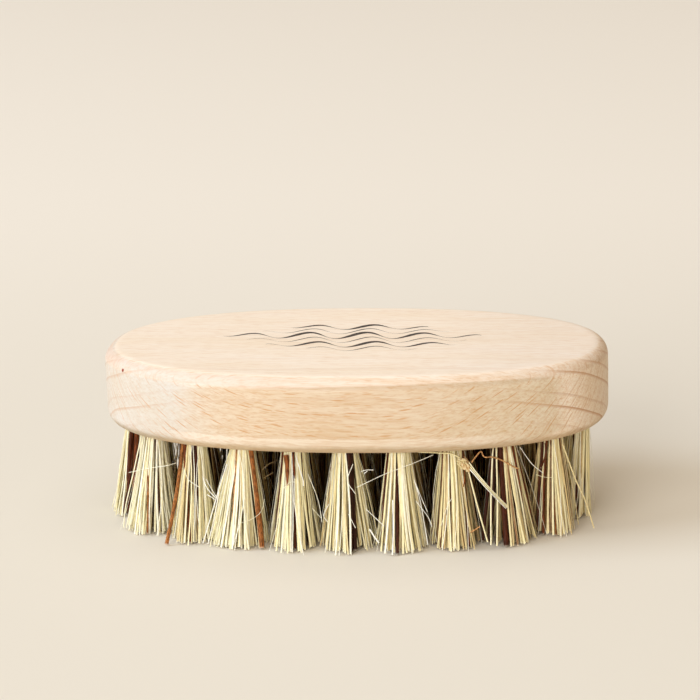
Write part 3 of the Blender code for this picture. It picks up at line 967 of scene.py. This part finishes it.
def add_wisp(straw, centre, chance):
    """One torn wisp, from the front of the husk upwards."""
    across, up = chance.uniform(*WISP_ACROSS_MM), chance.uniform(*WISP_UP_MM)
    start = centre + MM * Vector((across, WISP_FRONT_MM, up))
    end = start + MM * Vector([chance.uniform(*reach) for reach in WISP_REACH_MM])
    middle = start.lerp(end, 0.5) + MM * Vector((0.0, WISP_BEND_MM, chance.uniform(*WISP_RISE_MM)))
    widths = [width * MM for width in WISP_WIDTHS_MM]
    straw.add([start, middle, end], widths, FIBRE_SIDES, PALE, chance.uniform(0.0, 0.55), 0.5)


def build_husk_straw(plan, centre, materials, chance):
    """The flat two-edged straw that grows out of the husk, and the wisps at its torn ends."""
    straw = Strands()
    path = smooth_path([in_front(plan, point) for point in HUSK_RIBBON])
    pairs = zip(RIBBON_WIDTHS_MM, RIBBON_WIDTHS_MM[1:])
    widths = [MM * (a + (b - a) * i / PATH_STEPS) for a, b in pairs for i in range(PATH_STEPS)]
    widths.append(MM * RIBBON_WIDTHS_MM[-1])
    for finish, tint, sideways, share in RIBBON_STRIPS:
        strip = []
        for i, point in enumerate(path):
            ahead = path[min(i + 1, len(path) - 1)] - path[max(i - 1, 0)]
            strip.append(point + sideways * widths[i] * ahead.cross(RIBBON_WAY).normalized())
        strip_widths = [width * share for width in widths]
        straw.add(strip, strip_widths, LOOSE_SIDES, finish, tint, RIBBON_FLAT, RIBBON_WAY)
    for _ in range(HUSK_WISPS):
        add_wisp(straw, centre, chance)
    finish_piece("husk_straw", straw.mesh("husk_straw", materials))


# The ink ornament on the top: tapered wave strokes, each as its middle, length, height of wave and
# greatest width. Fine strokes run between the broad ones
ORNAMENT_WAVES_MM = [
    ((0.0, 9.5), 28.0, 1.7, 1.2), ((-1.0, 3.5), 52.0, 2.2, 1.35), ((1.5, -2.7), 38.0, 1.9, 1.25),
    ((-0.6, 6.6), 38.0, 1.9, 0.42), ((0.3, 0.5), 44.0, 2.0, 0.42), ((2.0, -5.5), 22.0, 1.6, 0.4),
]
WAVE_LENGTH_MM = 11.5
STROKE_STEPS_PER_MM = 4
STROKE_SWELL = 0.45
STROKE_RAGGED = 0.12
THINNEST_HALF_MM = 0.02
INK_LIFT = 0.02 * MM


def draw_wave(bm, middle, length, height, stroke):
    """A flat band of ink that thins to both ends, swells with its wave and has a ragged edge."""
    steps = int(length * STROKE_STEPS_PER_MM)
    previous = None
    for i in range(steps + 1):
        share = i / steps
        x = middle[0] + length * (share - 0.5)
        phase = 2 * math.pi * (x - middle[0]) / WAVE_LENGTH_MM
        calm = math.sin(math.pi * share) ** 0.4
        y = middle[1] + height * calm * math.sin(phase)
        slope = height * calm * math.cos(phase) * 2 * math.pi / WAVE_LENGTH_MM
        normal = Vector((-slope, 1.0, 0.0)).normalized()
        swell = 1 - STROKE_SWELL + STROKE_SWELL * math.sin(phase + 0.8)
        ragged = 1 + STROKE_RAGGED * noise.noise(Vector((x * 2.0, y, middle[1])))
        half = stroke / 2 * math.sin(math.pi * share) ** 0.5 * swell * ragged
        half = max(half, THINNEST_HALF_MM)
        centre = Vector((x, y, (BLOCK_TOP + INK_LIFT) / MM))
        pair = [bm.verts.new((centre + side * half * normal) * MM) for side in (-1, 1)]
        if previous:
            bm.faces.new((previous[0], pair[0], pair[1], previous[1]))
        previous = pair


def build_ornament(finish):
    bm = bmesh.new()
    for wave in ORNAMENT_WAVES_MM:
        draw_wave(bm, *wave)
    finish_piece("ink_ornament", mesh_of(bm, "ink_ornament", finish))


FLOOR_HALF = 3.0


def add_floor():
    corners = [(x * FLOOR_HALF, y * FLOOR_HALF, 0.0) for x, y in ((-1, -1), (1, -1), (1, 1), (-1, 1))]
    mesh = bpy.data.meshes.new("floor")
    mesh.from_pydata(corners, [], [(0, 1, 2, 3)])
    mesh.materials.append(floor_material())
    floor = bpy.data.objects.new("floor", mesh)
    bpy.context.collection.objects.link(floor)


# Lamps: name, level on a surface that faces it, colour, distance, size, height above the floor
# and turn from the left towards the viewer, both as angles
LAMPS = [
    ("key", 0.47, (0.85, 1.0, 1.2), 3.0, 1.4, math.radians(37.0), math.radians(12.0)),
    ("overhead", 0.37, (1.0, 1.0, 1.0), 2.5, 3.0, math.radians(89.0), math.radians(90.0)),
    ("low_front", 0.58, (0.98, 1.0, 1.03), 2.5, 1.6, math.radians(20.0), math.radians(64.0)),
]
SKY_LEVEL = 0.42
SKY_COLOUR = (1.0, 0.82, 0.61)
BACKDROP_COLOUR = srgb(238, 229, 213)


def add_lamp(name, level, colour, distance, size, rise, turn):
    """A square lamp that shines at the brush, as bright as level says on a surface that faces it."""
    level_way = Vector((-math.cos(turn), -math.sin(turn), 0.0))
    towards = math.cos(rise) * level_way + Vector((0.0, 0.0, math.sin(rise)))
    lamp = bpy.data.lights.new(name, "AREA")
    lamp.shape = "SQUARE"
    lamp.color = colour
    lamp.size = size
    lamp.energy = level * math.pi ** 2 * distance ** 2
    placed = bpy.data.objects.new(name, lamp)
    placed.location = towards * distance
    placed.rotation_euler = towards.to_track_quat("Z", "Y").to_euler()
    bpy.context.collection.objects.link(placed)


def add_light():
    """Soft lamps from the upper left, from above and low in front, in an even warm room.

    The camera sees a plain backdrop in place of the room.
    """
    for lamp in LAMPS:
        add_lamp(*lamp)
    world = bpy.data.worlds.new("room")
    bpy.context.scene.world = world
    world.use_nodes = True
    nodes, links = world.node_tree.nodes, world.node_tree.links
    room = nodes["Background"]
    room.inputs["Color"].default_value = (*SKY_COLOUR, 1.0)
    room.inputs["Strength"].default_value = SKY_LEVEL
    backdrop = nodes.new("ShaderNodeBackground")
    backdrop.inputs["Color"].default_value = BACKDROP_COLOUR
    mixed = nodes.new("ShaderNodeMixShader")
    seen = nodes.new("ShaderNodeLightPath")
    links.new(seen.outputs["Is Camera Ray"], mixed.inputs[0])
    links.new(room.outputs[0], mixed.inputs[1])
    links.new(backdrop.outputs[0], mixed.inputs[2])
    links.new(mixed.outputs[0], nodes["World Output"].inputs["Surface"])


def camera_axes():
    """Where the camera stands, and the ways to the right, up and forward in its picture."""
    back = Vector((
        math.sin(CAMERA_TURN) * math.cos(CAMERA_RISE),
        -math.cos(CAMERA_TURN) * math.cos(CAMERA_RISE),
        math.sin(CAMERA_RISE),
    ))
    right = Vector((math.cos(CAMERA_TURN), math.sin(CAMERA_TURN), 0.0))
    up = back.cross(right)
    middle = Vector((0.0, 0.0, AIM_HEIGHT))
    eye = middle + CAMERA_DISTANCE * back
    aim = middle + SLIDE_RIGHT * right + SLIDE_UP * up
    forward = (aim - eye).normalized()
    level_right = forward.cross(Vector((0.0, 0.0, 1.0))).normalized()
    level_up = level_right.cross(forward)
    rolled_right = math.cos(CAMERA_ROLL) * level_right + math.sin(CAMERA_ROLL) * level_up
    rolled_up = math.cos(CAMERA_ROLL) * level_up - math.sin(CAMERA_ROLL) * level_right
    return eye, rolled_right, rolled_up, forward


def add_camera():
    eye, right, up, forward = camera_axes()
    lens = bpy.data.cameras.new("camera")
    lens.sensor_width = SENSOR_WIDTH
    lens.lens = FOCAL_PIXELS / PICTURE_PIXELS * SENSOR_WIDTH
    lens.clip_start = CAMERA_DISTANCE / 10
    camera = bpy.data.objects.new("camera", lens)
    turned = Matrix((right, up, -forward)).transposed().to_4x4()
    camera.matrix_world = Matrix.Translation(eye) @ turned
    bpy.context.collection.objects.link(camera)
    bpy.context.scene.camera = camera


def build_brush():
    plan = {name: Tuft(node) for name, node in sorted(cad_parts.items()) if "tuft" in name}
    fibres = [pale_fibre(), brown_fibre()]
    build_block(plan, beech())
    for name, tuft in plan.items():
        chance = random.Random(f"{name} {SEED}")
        is_outer = name.startswith("outer")
        scattered = (OUTER_STALKS, OUTER_TINT) if is_outer else (INNER_STALKS, INNER_SHADED_TINT)
        look = FRONT_LOOKS.get(name) or scattered_look(chance, *scattered)
        build_tuft(name, tuft, look, OUTER_FIBRES if is_outer else INNER_FIBRES, fibres, chance)
    chance = random.Random(SEED)
    build_loose_fibres(plan, fibres, chance)
    husk_centre = in_front(plan, HUSK_AT)
    build_husk(husk_centre, husk_material())
    build_husk_straw(plan, husk_centre, fibres, chance)
    build_ornament(ink_material())


bpy.context.scene.view_settings.view_transform = "Standard"
add_camera()
add_light()
add_floor()
build_brush()
